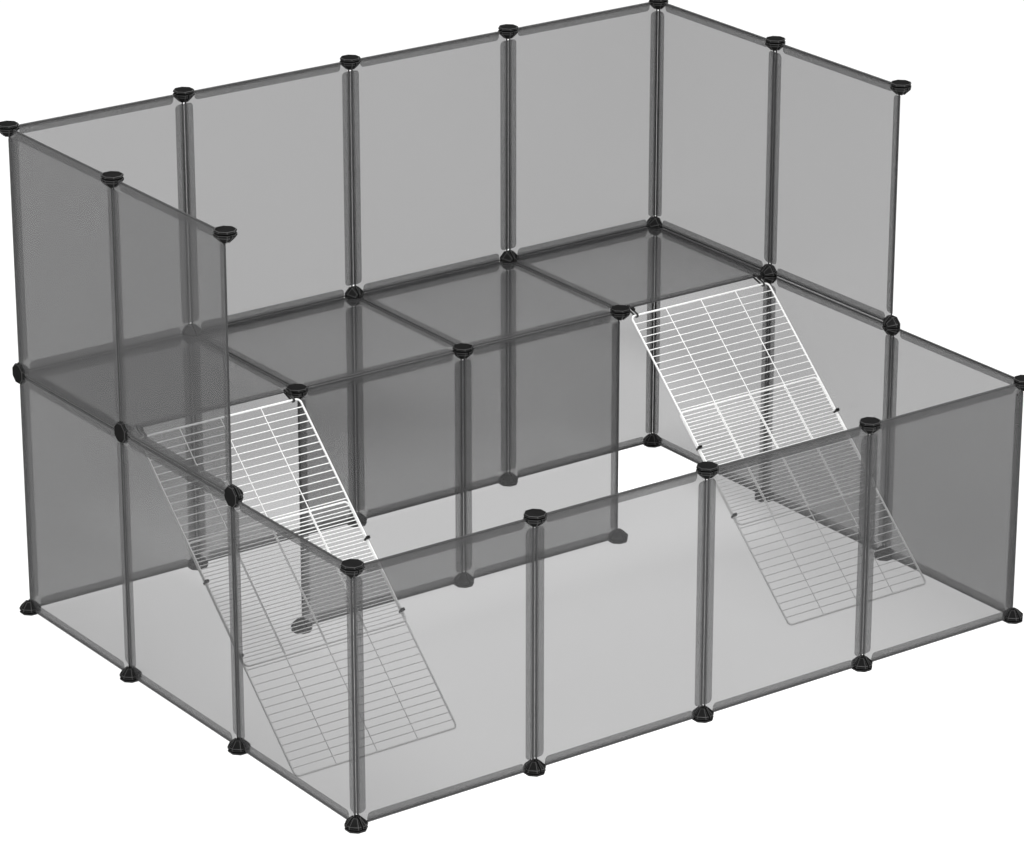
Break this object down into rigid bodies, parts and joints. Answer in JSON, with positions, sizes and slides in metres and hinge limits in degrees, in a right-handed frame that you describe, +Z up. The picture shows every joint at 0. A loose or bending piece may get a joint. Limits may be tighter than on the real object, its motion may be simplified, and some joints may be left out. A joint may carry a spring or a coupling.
{
  "type": "pet pen",
  "caption": "Tiered panel pen for small animals: framed translucent sheets held by octagonal connectors, with a deck over the back row and hinged wire ramps.",
  "frame": {"origin": "centre of the footprint, on the floor", "axes": "+X along the four-bay front, +Y from the low front to the high back, +Z up"},
  "size_m": [1.436, 1.086, 0.91],
  "materials": {
    "smoke_sheet": "smooth translucent smoke grey sheet",
    "edge_wire": "dark coated steel wire",
    "connector_black": "fine satin moulded black",
    "ramp_white": "white powder coat",
    "tie_black": "black nylon"
  },
  "bodies": {
    "pen": {"front_panel_1": "smoke_sheet", "front_panel_2": "smoke_sheet", "front_panel_3": "smoke_sheet", "front_panel_4": "smoke_sheet", "left_lower_panel_1": "smoke_sheet", "left_lower_panel_2": "smoke_sheet", "left_lower_panel_3": "smoke_sheet", "right_lower_panel_1": "smoke_sheet", "right_lower_panel_2": "smoke_sheet", "right_lower_panel_3": "smoke_sheet", "back_lower_panel_1": "smoke_sheet", "back_lower_panel_2": "smoke_sheet", "back_lower_panel_3": "smoke_sheet", "back_lower_panel_4": "smoke_sheet", "divider_panel_1": "smoke_sheet", "divider_panel_2": "smoke_sheet", "deck_panel_1": "smoke_sheet", "deck_panel_2": "smoke_sheet", "deck_panel_3": "smoke_sheet", "deck_panel_4": "smoke_sheet", "back_upper_panel_1": "smoke_sheet", "back_upper_panel_2": "smoke_sheet", "back_upper_panel_3": "smoke_sheet", "back_upper_panel_4": "smoke_sheet", "left_upper_panel_1": "smoke_sheet", "left_upper_panel_2": "smoke_sheet", "right_upper_panel_1": "smoke_sheet", "right_upper_panel_2": "smoke_sheet", "front_wires": "edge_wire", "left_lower_wires": "edge_wire", "right_lower_wires": "edge_wire", "back_lower_wires": "edge_wire", "divider_wires": "edge_wire", "deck_wires": "edge_wire", "back_upper_wires": "edge_wire", "left_upper_wires": "edge_wire", "right_upper_wires": "edge_wire", "front_feet": "connector_black", "back_feet": "connector_black", "left_feet": "connector_black", "right_feet": "connector_black", "inner_feet": "connector_black", "front_rim_connectors": "connector_black", "deck_edge_connectors": "connector_black", "left_mid_connectors": "connector_black", "right_mid_connectors": "connector_black", "back_mid_connectors": "connector_black", "back_top_connectors": "connector_black", "left_top_connectors": "connector_black", "right_top_connectors": "connector_black", "left_ramp_hinge_ties": "tie_black", "right_ramp_hinge_ties": "tie_black"},
    "left_ramp": {"left_ramp_upper_grid": "ramp_white", "left_ramp_lower_grid": "ramp_white", "left_ramp_splice_ties": "tie_black"},
    "right_ramp": {"right_ramp_upper_grid": "ramp_white", "right_ramp_lower_grid": "ramp_white", "right_ramp_splice_ties": "tie_black"}
  },
  "joints": [
    {"name": "left_ramp_swing", "type": "hinge", "parent": "pen", "child": "left_ramp", "pos_m": [-0.51925, 0.1542, 0.447], "axis": [-1, 0, 0], "range_deg": [0, 130]},
    {"name": "right_ramp_swing", "type": "hinge", "parent": "pen", "child": "right_ramp", "pos_m": [0.51925, 0.1542, 0.447], "axis": [-1, 0, 0], "range_deg": [0, 130]}
  ]
}
